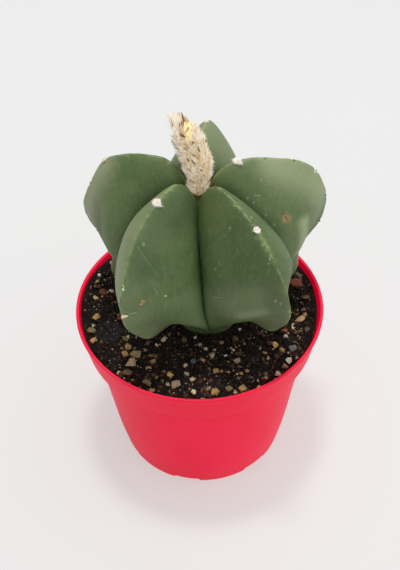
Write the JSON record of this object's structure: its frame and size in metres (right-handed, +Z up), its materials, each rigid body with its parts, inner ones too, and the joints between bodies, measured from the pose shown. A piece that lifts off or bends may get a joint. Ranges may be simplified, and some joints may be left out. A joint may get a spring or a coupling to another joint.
{
  "type": "five-ribbed bishop's cap cactus in a round plastic pot",
  "caption": "Broad ribbed spineless cactus body with woolly areoles and a withered flower, growing in gritty soil in a small tapered plastic nursery pot.",
  "frame": {"origin": "middle of the pot's foot, on the surface that the pot stands on", "axes": "+Z up along the pot's axis, -Y towards the side that shows the furrow between the two front ribs, +X to the right seen from there"},
  "size_m": [0.0856, 0.0866, 0.1407],
  "materials": {
    "red_plastic": "satin moulded polypropylene, coral red, deeper crimson on the inside",
    "potting_mix": "dark peat with tan, grey and cream grit",
    "cactus_skin": "waxy grey-green skin, darker in the furrows and yellow-green along the crests",
    "dry_wool": "matted beige wool with dark brown scales",
    "dry_petal": "papery dried petals, straw yellow to brown"
  },
  "bodies": {
    "root": {"pot": "red_plastic", "soil": "potting_mix", "cactus_stem": "cactus_skin", "flower_tube": "dry_wool", "flower_petals": "dry_petal"}
  },
  "joints": []
}
